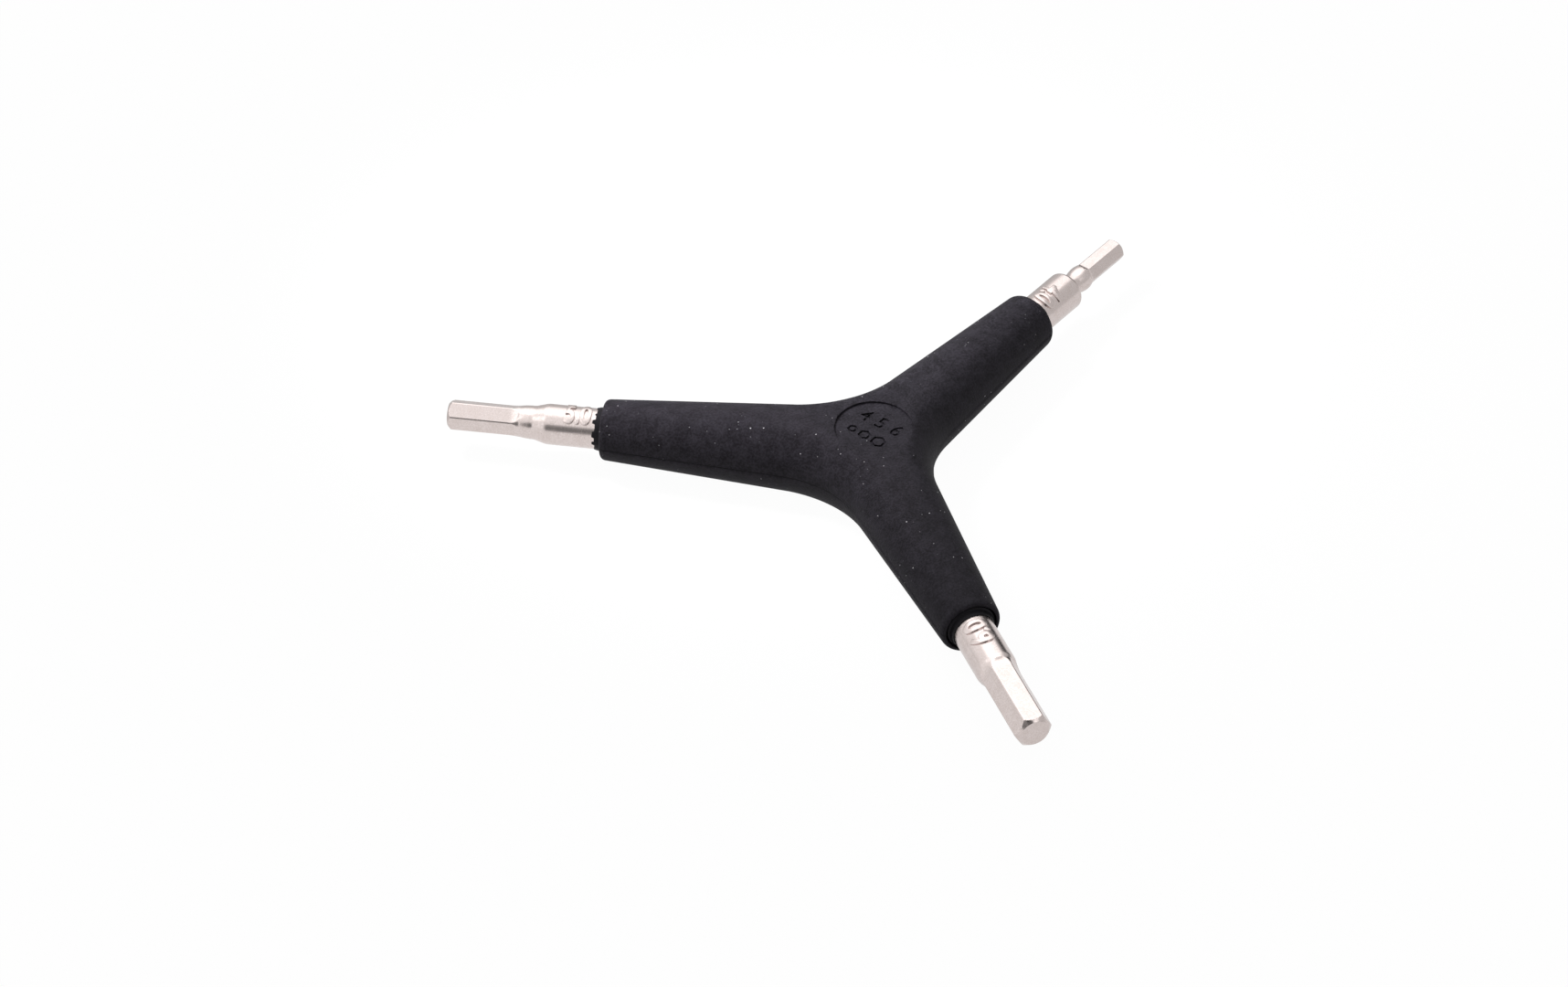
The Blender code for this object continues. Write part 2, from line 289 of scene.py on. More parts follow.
class KeySizes(bpy.types.PropertyGroup):
    """Sizes that the three keys share"""

    shank_radius: length("Shank radius", "Round shank of each key", 0.0037)
    root: length("Root", "Middle of the Y to a key's buried end", 0.0090)
    root_chamfer: length("Root chamfer", "Chamfer of the buried end", 0.0005)
    root_flats: length("Root flats", "Across the two flats against turning", 0.0060)
    root_flats_length: length("Root flats length", "Length of the two flats", 0.0080)
    groove_at: length("Groove at", "Middle of the Y to the retaining groove", 0.0220)
    groove_width: length("Groove width", "Width of the retaining groove", 0.0030)
    groove_depth: length("Groove depth", "Depth of the retaining groove", 0.0006)
    edge_land: length("Edge land", "How far the hexagon's edges are rounded off", 0.00006)
    tip_chamfer: slope("Tip chamfer", "Slope of the chamfer to the key's axis", math.radians(45))
    tip_face: share("Tip face", "Radius of the flat end, as a share of half the flats", 0.85)
    mark_height: length("Mark height", "Height of the figure on a shank", 0.0040)
    mark_start: length("Mark start", "Middle of the Y to the inner end of the marks", 0.0502)
    mark_weight: length("Mark weight", "How much the figure's lines are thickened", 0.00015)
    mark_relief: length("Mark relief", "How far the figure stands out of the shank", 0.00034)


class Finishes(bpy.types.PropertyGroup):
    """Colours and surface of the three materials and the floor"""

    rubber: tint("Rubber", "Soft grip", (0.0034, 0.0030, 0.0039))
    rubber_bloom: tint("Rubber bloom", "Paler patches of the grip", (0.0152, 0.0138, 0.0174))
    # Painted shade: colour of the dark line along the parting line's groove, where shade falls
    seam_painted_shade: tint("Seam painted shade", "Dark line along the parting line", (0.0012, 0.0011, 0.0015))
    dust: tint("Dust", "Small pale specks on the grip", (0.40, 0.39, 0.41))
    plastic: tint("Plastic", "Hard core", (0.0022, 0.0021, 0.0026))
    plastic_bloom: tint("Plastic bloom", "Paler patches of the core", (0.0055, 0.0052, 0.0062))
    plating: tint("Plating", "Satin plated keys", (0.700, 0.620, 0.602))
    plating_stain: tint("Plating stain", "Darker clouds of the plating", (0.620, 0.538, 0.512))
    floor: tint("Floor", "Floor of the stage", (0.60, 0.60, 0.60))


class WrenchSettings(bpy.types.PropertyGroup):
    """All that can be changed"""

    grip: PointerProperty(type=GripSizes)
    core: PointerProperty(type=CoreSizes)
    keys: PointerProperty(type=KeySizes)
    key4: PointerProperty(type=Key4Sizes)
    key5: PointerProperty(type=Key5Sizes)
    key6: PointerProperty(type=Key6Sizes)
    finishes: PointerProperty(type=Finishes)


def settings():
    """The wrench's settings in this scene."""
    return bpy.context.scene.wrench


def set_values(target, **values):
    """Set several attributes of an object or its data."""
    for name, value in values.items():
        setattr(target, name, value)


# Edit mode helpers

def start_piece(name):
    """A new object at the origin with an empty mesh, in edit mode."""
    bpy.ops.object.add(type="MESH", location=(0.0, 0.0, 0.0))
    piece = bpy.context.object
    piece.name = name
    piece.data.name = name
    bpy.ops.object.mode_set(mode="EDIT")
    bpy.context.tool_settings.mesh_select_mode = (True, False, False)
    return piece


def pick_points(piece, test):
    """Select the vertices whose place passes a test, and say how many there are."""
    bpy.ops.mesh.select_all(action="DESELECT")
    builder = bmesh.from_edit_mesh(piece.data)
    chosen = [vertex for vertex in builder.verts if test(vertex.co)]
    for vertex in chosen:
        vertex.select = True
    builder.select_flush(True)
    bmesh.update_edit_mesh(piece.data)
    return len(chosen)


def weld_all():
    """Select everything in edit mode and weld what touches."""
    bpy.ops.mesh.select_all(action="SELECT")
    bpy.ops.mesh.remove_doubles(threshold=WELD)


def finish_piece(piece, material, smooth_angle):
    """Weld the piece, face it outwards, smooth it and give it its material."""
    weld_all()
    bpy.ops.mesh.normals_make_consistent(inside=False)
    if bmesh.from_edit_mesh(piece.data).calc_volume(signed=True) < 0.0:
        bpy.ops.mesh.flip_normals()
    bpy.ops.object.mode_set(mode="OBJECT")
    bpy.ops.object.shade_smooth_by_angle(angle=smooth_angle)
    piece.data.materials.clear()
    piece.data.materials.append(material)


def apply_boolean(piece, cutter):
    """Cut another object out of a piece, apply the cut and remove the cutter."""
    select_only(piece)
    cut = piece.modifiers.new("cut", "BOOLEAN")
    set_values(cut, operation="DIFFERENCE", solver="MANIFOLD", object=cutter)
    bpy.ops.object.modifier_apply(modifier=cut.name)
    bpy.data.objects.remove(cutter, do_unlink=True)


def select_only(*pieces):
    """Select these objects, the last of them active."""
    bpy.ops.object.select_all(action="DESELECT")
    for piece in pieces:
        piece.select_set(True)
    bpy.context.view_layer.objects.active = pieces[-1]


def loft(piece, rings):
    """Add a circle for each ring, shape it to its section and bridge it to the one before."""
    count = len(rings[0])
    for number, ring in enumerate(rings):
        bpy.ops.mesh.primitive_circle_add(vertices=count, radius=0.001)
        builder = bmesh.from_edit_mesh(piece.data)
        builder.verts.ensure_lookup_table()
        first = len(builder.verts) - count
        for vertex, point in zip(builder.verts[first:], ring):
            vertex.co = point
        if number:
            for vertex in builder.verts[first - count:first]:
                vertex.select = True
            builder.select_flush(True)
        bmesh.update_edit_mesh(piece.data)
        if number:
            bpy.ops.mesh.bridge_edge_loops()


def copy_round():
    """Copy the arm in edit mode to the other two headings, and close the middle."""
    bpy.ops.mesh.select_all(action="SELECT")
    for _ in range(ARM_COUNT - 1):
        bpy.ops.mesh.duplicate()
        bpy.ops.transform.rotate(
            value=ARM_STEP, orient_axis="Z", orient_type="GLOBAL", center_override=(0.0, 0.0, 0.0)
        )
    weld_all()
    bpy.ops.mesh.fill_holes(sides=ARM_COUNT)


# The nested outlines of the Y

def fractions(first, steps):
    """The fractions from first / steps up to 1."""
    return [step / steps for step in range(first, steps + 1)]


def soft_min(first, second, blend):
    """The smaller of two numbers, rounded off where they meet."""
    if blend <= 0.0:
        return min(first, second)
    overlap = max(blend - abs(first - second), 0.0)
    return min(first, second) - overlap * overlap / (4.0 * blend)


def half_width(sizes, along, inset):
    """Half the width of an arm, so far along its axis, of the skin that lies inset inwards."""
    return sizes.end_radius + sizes.taper * max(sizes.arm_reach - along, 0.0) - inset


def crotch_point(sizes, turn, part, inset):
    """A plan point on the crotch arc of one nested outline.

    The part runs from 0, along the arms' axes, to 1, the real outline. The turn runs from 0, midway
    between two arms, to 1, where the arc touches the arm's straight side.
    """
    lean = part * sizes.taper
    half_step = ARM_STEP / 2
    radius = sizes.crotch_radius + inset
    distance = radius * math.hypot(1.0, lean) + part * half_width(sizes, 0.0, inset)
    distance /= math.sin(half_step) + lean * math.cos(half_step)
    first_angle = math.pi + half_step
    last_angle = 1.5 * math.pi - math.atan(lean)
    angle = first_angle + (last_angle - first_angle) * turn
    along = distance * math.cos(half_step) + radius * math.cos(angle)
    across = distance * math.sin(half_step) + radius * math.sin(angle)
    return along, across


def crotch_place(sizes, turn, part, inset):
    """A plan point on a crotch arc, and the radius of the arm's round section there."""
    along, across = crotch_point(sizes, turn, part, inset)
    middle = half_width(sizes, crotch_point(sizes, 0.0, part, inset)[0], inset)
    tangent = half_width(sizes, crotch_point(sizes, 1.0, part, inset)[0], inset)
    return along, across, tangent + (middle - tangent) * (1.0 - turn * turn)


def straight_place(sizes, way, end, part, inset):
    """A plan point on a straight side, from its tangent point (way 0) to a station (way 1)."""
    start = crotch_point(sizes, 1.0, part, inset)[0]
    along = start + (end - start) * way
    radius = half_width(sizes, along, inset)
    return along, part * radius, radius


def section_angles():
    """Angles round an arm's section from its side up to its ridge, close together at the seam."""
    angles = list(SEAM_ANGLES)
    angle = 1.5 * SECTION_STEP
    while angle < 90.0:
        angles.append(angle)
        angle += SECTION_STEP
    return angles


def seam_relief(angle, along):
    """Share of the seam's height: a flash line over a fine groove, fading towards the hub."""
    fade = min(max((along - SEAM_START) / SEAM_GROWTH, 0.0), 1.0)
    wander = 1.0 - SEAM_WANDER + SEAM_WANDER * math.sin(along * SEAM_WAVES)
    return SEAM_SHARES.get(round(angle, 1), 0.0) * math.sqrt(fade) * wander


def arm_ring(sizes, place, inset, blend, seam):
    """One closed ring across an arm, in the order of its angle from the arm's left side."""
    top = sizes.half_height - inset
    ring = []
    for side, rise in ((1.0, 1.0), (-1.0, 1.0), (-1.0, -1.0), (1.0, -1.0)):
        quarter = section_angles()[0 if rise > 0.0 else 1:]
        for angle in quarter if side == rise else reversed(quarter):
            part = math.cos(math.radians(angle))
            along, across, radius = place(part)
            height = soft_min(radius * math.sin(math.radians(angle)), top, blend)
            if seam:
                across += seam * seam_relief(angle * rise, along)
            ring.append(Vector((along, side * across, rise * height)))
    return ring


def arm_rings(sizes, inset, blend=0.0, seam=0.0):
    """The rings of one arm's skin, from the middle of the Y to where the arm's end begins."""
    rings = []
    for turn in fractions(0, CROTCH_STEPS):
        rings.append(arm_ring(
            sizes, lambda part: crotch_place(sizes, turn, part, inset), inset, blend, seam))
    tip = sizes.arm_reach - (sizes.half_height - sizes.end_radius) / sizes.taper
    for way in fractions(1, FLAT_STEPS):
        rings.append(arm_ring(
            sizes, lambda part: straight_place(sizes, way, tip, part, inset), inset, blend, seam))
    end = sizes.arm_reach - sizes.rim_length
    for way in fractions(1, ARM_STEPS):
        along = tip + (end - tip) * way
        rings.append(round_ring(sizes, along, half_width(sizes, along, inset), inset, blend, seam))
    return rings


def round_ring(sizes, along, radius, inset=0.0, blend=0.0, seam=0.0):
    """A ring across an arm where its section is round."""
    return arm_ring(sizes, lambda part: (along, part * radius, radius), inset, blend, seam)


def facing(heading):
    """The level direction of a heading."""
    return Vector((math.cos(heading), math.sin(heading), 0.0))


def turned(rings, heading, lift):
    """The rings turned to an arm's heading and lifted to the key axes."""
    turn = Matrix.Rotation(heading, 3, "Z")
    return [[turn @ point + UP * lift for point in ring] for ring in rings]


# Raised figures

def raised_text(name, body, height, weight, relief, rounding):
    """Figures as a mesh in their own plane, standing on it by the relief."""
    bpy.ops.object.text_add(location=(0.0, 0.0, 0.0))
    text = bpy.context.object
    text.name = name
    set_values(
        text.data, body=body, align_x="CENTER", align_y="CENTER", size=height / CAPITAL_SHARE,
        offset=weight, resolution_u=6, extrude=relief - rounding, bevel_depth=rounding, bevel_resolution=2,
    )
    bpy.ops.object.convert(target="MESH")
    bpy.ops.object.mode_set(mode="EDIT")
    weld_all()
    bpy.ops.mesh.normals_make_consistent(inside=False)
    bpy.ops.object.mode_set(mode="OBJECT")
    return bpy.context.object


def raised_hexagon(radius, relief):
    """A hexagon's outline as a line in its own plane, as thick on either side of it as the relief."""
    piece = start_piece("hexagon")
    bpy.ops.mesh.primitive_circle_add(
        vertices=6, radius=radius, fill_type="NGON", location=(0.0, 0.0, -relief))
    bpy.ops.mesh.inset(thickness=HEXAGON_LINE, depth=0.0)
    bpy.ops.mesh.delete(type="FACE")
    bpy.ops.mesh.select_all(action="SELECT")
    bpy.ops.mesh.extrude_region_move(TRANSFORM_OT_translate={"value": (0.0, 0.0, 2 * relief)})
    bpy.ops.mesh.select_all(action="SELECT")
    bpy.ops.mesh.normals_make_consistent(inside=False)
    bpy.ops.object.mode_set(mode="OBJECT")
    return piece


def wrap_on_shank(figure, heading, span, lean, radius, lift):
    """Bend a figure's mesh round a key's shank, reading towards the handle, between two places."""
    out = facing(heading)
    side = UP.cross(-out)
    left = min(vertex.co.x for vertex in figure.data.vertices)
    right = max(vertex.co.x for vertex in figure.data.vertices)
    for vertex in figure.data.vertices:
        angle = lean + vertex.co.y / radius
        reach = radius + vertex.co.z
        way = (right - vertex.co.x) / (right - left)
        vertex.co = (
            out * (span[0] + (span[1] - span[0]) * way)
            + side * (reach * math.sin(angle))
            + UP * (reach * math.cos(angle) + lift)
        )


def join_into(piece, parts):
    """Join the parts into the piece."""
    select_only(*parts, piece)
    bpy.ops.object.join()


# Shader node groups and materials

def put(tree, value, socket):
    """Give an input its plain value, or link it where the value is another node's output."""
    if isinstance(value, bpy.types.NodeSocket):
        tree.links.new(value, socket)
    else:
        socket.default_value = value


def fill(tree, made, **values):
    """Give a node its inputs and its settings, named with an underscore for each space."""
    for name, value in values.items():
        label = name.replace("_", " ")
        if label in made.inputs:
            put(tree, value, made.inputs[label])
        else:
            setattr(made, name, value)
    return made


def node(tree, kind, place, **values):
    """A shader node with its inputs and settings."""
    made = tree.nodes.new(kind)
    made.location = place
    return fill(tree, made, **values)


def noise(tree, coordinates, place, scale, detail, roughness=0.5):
    """The value of a noise texture at the given coordinates."""
    return node(
        tree, "ShaderNodeTexNoise", place, Vector=coordinates, Scale=scale, Detail=detail,
        Roughness=roughness,
    ).outputs["Fac"]


def ramp(tree, value, place, low, high, first=0.0, last=1.0):
    """A value stretched smoothly so that low becomes the first number and high the last."""
    return node(
        tree, "ShaderNodeMapRange", place, interpolation_type="SMOOTHSTEP", Value=value,
        From_Min=low, From_Max=high, To_Min=first, To_Max=last,
    ).outputs["Result"]


def math_node(tree, operation, place, *values):
    """The result of a maths node whose inputs are sockets or plain numbers."""
    made = node(tree, "ShaderNodeMath", place, operation=operation)
    for socket, value in zip(made.inputs, values):
        put(tree, value, socket)
    return made.outputs[0]


def mix_colour(tree, place, factor, first, second):
    """A mix of two colours, each a socket or a plain colour."""
    made = node(tree, "ShaderNodeMix", place, data_type="RGBA")
    for slot, value in ((0, factor), (6, first), (7, second)):
        put(tree, value, made.inputs[slot])
    return made.outputs[2]


def new_group(name, inputs, outputs):
    """A shader node group and its inputs, each given by its kind or by a number's default."""
    tree = bpy.data.node_groups.new(name, "ShaderNodeTree")
    for label, kind in inputs.items():
        number = not isinstance(kind, str)
        socket = tree.interface.new_socket(
            label, in_out="INPUT", socket_type="NodeSocket" + ("Float" if number else kind))
        if number:
            socket.default_value = kind
    for label, kind in outputs.items():
        tree.interface.new_socket(label, in_out="OUTPUT", socket_type="NodeSocket" + kind)
    return tree, node(tree, "NodeGroupInput", (-900, 0)).outputs


def mottle_group():
    """Cloudy patches and fine grain, as a moulding or a plated surface has them."""
    tree, entry = new_group(
        "Mottle and grain",
        {"Vector": "Vector", "Colour": "Color", "Patch Colour": "Color", "Patch Size": 0.002,
         "Grain Size": 0.0002, "Roughness": 0.5, "Roughness Spread": 0.1},
        {"Colour": "Color", "Roughness": "Float", "Height": "Float"},
    )
    patch_scale = math_node(tree, "DIVIDE", (-650, 250), 1.0, entry["Patch Size"])
    grain_scale = math_node(tree, "DIVIDE", (-650, -150), 1.0, entry["Grain Size"])
    patches = noise(tree, entry["Vector"], (-450, 250), patch_scale, 4.0, 0.6)
    grain = noise(tree, entry["Vector"], (-450, -150), grain_scale, 3.0, 0.6)
    patch_mask = ramp(tree, patches, (-200, 250), 0.34, 0.68)
    grain_mask = ramp(tree, grain, (-200, -50), 0.38, 0.62)
    patch_part = math_node(tree, "MULTIPLY", (-50, 350), patch_mask, 1.0 - GRAIN_SHARE)
    both = math_node(tree, "MULTIPLY_ADD", (50, 250), grain_mask, GRAIN_SHARE, patch_part)
    centred = math_node(tree, "SUBTRACT", (150, 0), both, 0.5)
    spread = math_node(tree, "MULTIPLY", (350, 0), centred, entry["Roughness Spread"])
    node(
        tree, "NodeGroupOutput", (900, 0), Height=grain,
        Colour=mix_colour(tree, (350, 250), both, entry["Colour"], entry["Patch Colour"]),
        Roughness=math_node(tree, "ADD", (550, 0), spread, entry["Roughness"]),
    )
    return tree


def speck_group():
    """Sparse small specks of dust, as a mask."""
    tree, entry = new_group(
        "Specks of dust", {"Vector": "Vector", "Spacing": 0.003, "Size": 0.05, "Share": 0.3},
        {"Mask": "Float"},
    )
    scale = math_node(tree, "DIVIDE", (-650, 100), 1.0, entry["Spacing"])
    cells = node(tree, "ShaderNodeTexVoronoi", (-450, 100), Vector=entry["Vector"], Scale=scale).outputs
    split = node(tree, "ShaderNodeSeparateColor", (-200, -50), Color=cells["Color"]).outputs
    near = math_node(tree, "LESS_THAN", (-200, 150), cells["Distance"], entry["Size"])
    kept = math_node(tree, "LESS_THAN", (0, -50), split["Red"], entry["Share"])
    clouds = noise(tree, entry["Vector"], (-450, -250), DUST_CLOUD_SCALE, 2.0)
    gathered = ramp(tree, clouds, (-200, -250), 0.47, 0.58)
    single = math_node(tree, "MULTIPLY", (100, 0), near, kept)
    mask = math_node(tree, "MULTIPLY", (200, 100), single, gathered)
    faint = math_node(tree, "MULTIPLY", (400, 100), mask, split["Green"])
    node(tree, "NodeGroupOutput", (900, 0), Mask=faint)
    return tree


def rub_group():
    """Fine rubbed scratches that run one way, as a height."""
    tree, entry = new_group(
        "Rub marks", {"Vector": "Vector", "Turn": 0.0, "Stretch": 12.0, "Size": 0.0004},
        {"Height": "Float"},
    )
    swung = node(
        tree, "ShaderNodeVectorRotate", (-700, 100), rotation_type="Z_AXIS", Vector=entry["Vector"],
        Angle=entry["Turn"],
    ).outputs["Vector"]
    split = node(tree, "ShaderNodeSeparateXYZ", (-520, 100), Vector=swung).outputs
    squeezed = math_node(tree, "DIVIDE", (-350, 200), split["X"], entry["Stretch"])
    place = node(tree, "ShaderNodeCombineXYZ", (-180, 100), X=squeezed, Y=split["Y"], Z=split["Z"])
    scale = math_node(tree, "DIVIDE", (-180, -100), 1.0, entry["Size"])
    streaks = noise(tree, place.outputs["Vector"], (0, 100), scale, 3.0, 0.65)
    node(tree, "NodeGroupOutput", (900, 0), Height=streaks)
    return tree


def start_material(name):
    """A material with its shader and Object coordinates."""
    material = bpy.data.materials.new(name)
    material.use_nodes = True
    tree = material.node_tree
    shader = tree.nodes["Principled BSDF"]
    shader.location = (900, 0)
    tree.nodes["Material Output"].location = (1200, 0)
    return material, tree, shader, node(tree, "ShaderNodeTexCoord", (-900, 0)).outputs["Object"]


def place_group(tree, group, place, coordinates, **values):
    """The results of a node group in a material, with its own values."""
    return node(tree, "ShaderNodeGroup", place, node_tree=group, Vector=coordinates, **values).outputs


def bump(tree, place, height, distance, strength, **normal):
    """A bump from a height, on top of another normal where one is given."""
    return node(
        tree, "ShaderNodeBump", place, Height=height, Distance=distance, Strength=strength, **normal,
    ).outputs["Normal"]


def opaque(colour):
    """A colour with full opacity."""
    return (*colour, 1.0)


def seam_line(tree, coordinates, colour):
    """The colour, darkened by a painted shade along the groove of the parting line."""
    # Painted shade: the colour is darkest at the groove's middle and fades away from it
    split = node(tree, "ShaderNodeSeparateXYZ", (-300, 600), Vector=coordinates).outputs
    level = settings().grip.half_height - SEAM_GROOVE
    below = math_node(tree, "SUBTRACT", (-100, 600), split["Z"], level)
    away = math_node(tree, "ABSOLUTE", (100, 600), below)
    mask = ramp(tree, away, (300, 600), SEAM_GROOVE * SEAM_SHADE_FULL, SEAM_GROOVE * SEAM_SHADE_GONE)
    return mix_colour(tree, (500, 450), mask, opaque(settings().finishes.seam_painted_shade), colour)


def moulded_material(name, colour, patch, patch_size, grain_size, roughness, depth):
    """Moulded rubber or plastic: mottled, grained, with dust, faint rub marks and painted shade along the
    parting line.
    """
    groups = node_groups()
    material, tree, shader, coordinates = start_material(name)
    body = place_group(
        tree, groups["mottle"], (-500, 200), coordinates,
        Colour=opaque(colour), Patch_Colour=opaque(patch), Patch_Size=patch_size,
        Grain_Size=grain_size, Roughness=roughness, Roughness_Spread=0.16,
    )
    specks = place_group(
        tree, groups["specks"], (-500, -150), coordinates, Spacing=0.0011, Size=0.090, Share=0.75)
    rubs = place_group(
        tree, groups["rubs"], (-500, -400), coordinates, Turn=0.6, Stretch=9.0, Size=0.0007)
    dust = opaque(settings().finishes.dust)
    dusted = mix_colour(tree, (100, 250), specks["Mask"], body["Colour"], dust)
    grained = bump(tree, (300, -200), body["Height"], depth, 0.8)
    fill(
        tree, shader, Base_Color=seam_line(tree, coordinates, dusted), Roughness=body["Roughness"],
        Normal=bump(tree, (550, -300), rubs["Height"], depth * 0.6, 0.25, Normal=grained),
        Specular_IOR_Level=0.12, Specular_Tint=(0.96, 0.91, 1.0, 1.0),
    )
    return material


def plated_material(name, heading):
    """Satin plated steel with clouds, dull patches and fine drawn lines along the key."""
    finishes = settings().finishes
    groups = node_groups()
    material, tree, shader, coordinates = start_material(name)
    clouds = place_group(
        tree, groups["mottle"], (-500, 200), coordinates,
        Colour=opaque(finishes.plating), Patch_Colour=opaque(finishes.plating_stain),
        Patch_Size=0.0017, Grain_Size=0.00030, Roughness=0.23, Roughness_Spread=0.10,
    )
    lines = place_group(
        tree, groups["rubs"], (-500, -200), coordinates, Turn=-heading, Stretch=16.0, Size=0.00032)
    dimpled = bump(tree, (300, -150), clouds["Height"], 0.000010, 0.5)
    fill(
        tree, shader, Base_Color=clouds["Colour"], Roughness=clouds["Roughness"], Metallic=1.0,
        Normal=bump(tree, (550, -250), lines["Height"], 0.000008, 0.5, Normal=dimpled),
    )
    return material


def node_groups():
    """The shared node groups, made once."""
    groups = bpy.data.node_groups
    return {
        "mottle": groups.get("Mottle and grain") or mottle_group(),
        "specks": groups.get("Specks of dust") or speck_group(),
        "rubs": groups.get("Rub marks") or rub_group(),
    }


# Keys

def rounded_profile(corners):
    """A profile of (along, radius) points whose inner corners are rounded where a rounding is given."""
    points = []
    for index, (along, radius, rounding) in enumerate(corners):
        corner = Vector((along, radius))
        if not rounding:
            points.append(corner)
            continue
        before = Vector(corners[index - 1][:2]) - corner
        after = Vector(corners[index + 1][:2]) - corner
        cut = min(rounding, before.length * ROUNDING_SHARE, after.length * ROUNDING_SHARE)
        start = corner + before.normalized() * cut
        end = corner + after.normalized() * cut
        for way in fractions(0, ROUNDING_STEPS):
            points.append(start.lerp(corner, way).lerp(corner.lerp(end, way), way))
    return points


def key_profile(shared, sizes):
    """Half of a key's section from the tip to the buried end, as (along, radius) points."""
    shank = shared.shank_radius
    corner = sizes.flats / 2 / math.cos(HEX_HALF_TURN) - shared.edge_land
    face = sizes.flats / 2 * shared.tip_face
    chamfer_start = sizes.reach - (corner - face) / math.tan(shared.tip_chamfer)
    hex_start = sizes.reach - sizes.hex_length
    neck_end = hex_start - sizes.runout
    neck_start = sizes.shoulder_at + sizes.shoulder
    points = rounded_profile([
        (sizes.reach, 0.0, 0.0),
        (sizes.reach, face, TIP_ROUNDING),
        (chamfer_start, corner, 0.0),
    ])
    edge = points.pop()
    points += [points[-1].lerp(edge, way) for way in fractions(1, CHAMFER_STEPS)]
    for way in fractions(1, HEX_STEPS)[:-1]:
        points.append(Vector((chamfer_start + (hex_start - chamfer_start) * way, corner)))
    for way in fractions(0, RUNOUT_STEPS):
        radius = corner + (sizes.neck_tip - corner) * math.sin(way * math.pi / 2)
        points.append(Vector((hex_start - sizes.runout * way, radius)))
    neck_ways = fractions(1, NECK_STEPS)[:-1] if sizes.neck_bulge else []
    for way in neck_ways:
        along = neck_end + (neck_start - neck_end) * way * (1.0 - NECK_STRAIGHT_SHARE)
        swell = sizes.neck_bulge * math.sin(math.pi * way ** NECK_SWELL_POWER)
        radius = sizes.neck_tip + (sizes.neck_root - sizes.neck_tip) * way + swell
        points.append(Vector((along, radius)))
    points += rounded_profile([
        (neck_start + (neck_end - neck_start) * NECK_STRAIGHT_SHARE, sizes.neck_root, 0.0),
        (neck_start, sizes.neck_root, NECK_ROUNDING),
        (sizes.shoulder_at, shank, SHOULDER_ROUNDING),
        (sizes.shoulder_at - SHOULDER_MARGIN, shank, 0.0),
    ])
    groove_start = shared.groove_at - shared.groove_width / 2
    groove_end = shared.groove_at + shared.groove_width / 2
    groove = shank - shared.groove_depth
    return points + rounded_profile([
        (groove_end + GROOVE_MARGIN, shank, 0.0),
        (groove_end, shank, GROOVE_ROUNDING),
        (groove_end, groove, GROOVE_ROUNDING),
        (groove_start, groove, GROOVE_ROUNDING),
        (groove_start, shank, GROOVE_ROUNDING),
        (shared.root + shared.root_flats_length, shank, 0.0),
        (shared.root + shared.root_chamfer, shank, 0.0),
        (shared.root, shank - shared.root_chamfer, 0.0),
        (shared.root, 0.0, 0.0),
    ])


def press_flat(piece, normal, middle, test):
    """Press the chosen vertices that stand beyond a flat onto it."""
    distance = middle.dot(normal)
    found = pick_points(
        piece, lambda place: test(place) and place.dot(normal) > distance + EDGE_TOUCH)
    if not found:
        return
    along = normal.orthogonal().normalized()
    side = normal.cross(along)
    bpy.ops.transform.resize(
        value=(1.0, 1.0, 0.0), orient_type="GLOBAL",
        orient_matrix=Matrix((along, side, normal)).transposed(),
        orient_matrix_type="GLOBAL", constraint_axis=(False, False, True), center_override=middle,
    )


def press_hexagon(piece, sizes, shared, axis, out, first_normal):
    """Press the six flats and their run-outs into the round end of a key."""
    flat = sizes.flats / 2
    hex_start = sizes.reach - sizes.hex_length
    for face in range(6):
        normal = Matrix.Rotation(face * 2 * HEX_HALF_TURN, 3, out) @ first_normal
        press_flat(piece, normal, axis + normal * flat,
                   lambda place: place.dot(out) > hex_start - EDGE_TOUCH)
        for way in fractions(1, RUNOUT_STEPS)[:-1]:
            station = hex_start - sizes.runout * way
            rise = (sizes.neck_tip - flat) * (0.5 * way * way + 0.5 * (1.0 - math.sqrt(1.0 - way * way)))
            press_flat(piece, normal, axis + normal * (flat + rise),
                       lambda place: abs(place.dot(out) - station) < EDGE_TOUCH)
    root_end = shared.root + shared.root_flats_length
    for side in (1.0, -1.0):
        normal = first_normal * side
        press_flat(piece, normal, axis + normal * (shared.root_flats / 2),
                   lambda place: place.dot(out) < root_end - EDGE_TOUCH)


def make_key(name, sizes, heading, first_turn, figure, figure_end, lean):
    """One plated key with its pressed hexagon and its raised figure, in place of its CAD node."""
    shared = settings().keys
    lift = settings().grip.half_height
    out = facing(heading)
    axis = UP * lift
    piece = start_piece(name + "_plated")
    profile = [axis + out * along + UP * radius for along, radius in key_profile(shared, sizes)]
    bpy.ops.mesh.primitive_plane_add(size=0.001, location=profile[0])
    bpy.ops.mesh.merge(type="CENTER")
    for here, there in zip(profile, profile[1:]):
        if (there - here).length > WELD:
            bpy.ops.mesh.extrude_vertices_move(TRANSFORM_OT_translate={"value": there - here})
    bpy.ops.mesh.select_all(action="SELECT")
    bpy.ops.mesh.spin(steps=KEY_SIDES, angle=math.tau, center=axis, axis=out)
    weld_all()
    press_hexagon(piece, sizes, shared, axis, out, Matrix.Rotation(first_turn, 3, out) @ UP)
    material = plated_material("plated_" + name, heading)
    finish_piece(piece, material, PLATED_SMOOTH)

    mark = raised_text(
        "mark_" + name, figure, shared.mark_height, shared.mark_weight, shared.mark_relief, MARK_ROUNDING)
    wrap_on_shank(mark, heading, (shared.mark_start, figure_end), lean, shared.shank_radius, lift)
    mark.data.materials.append(material)
    select_only(mark)
    bpy.ops.object.shade_smooth_by_angle(angle=FIGURE_SMOOTH)
    join_into(piece, [mark])
    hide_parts(name)
    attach(piece, ROOT_BODY)


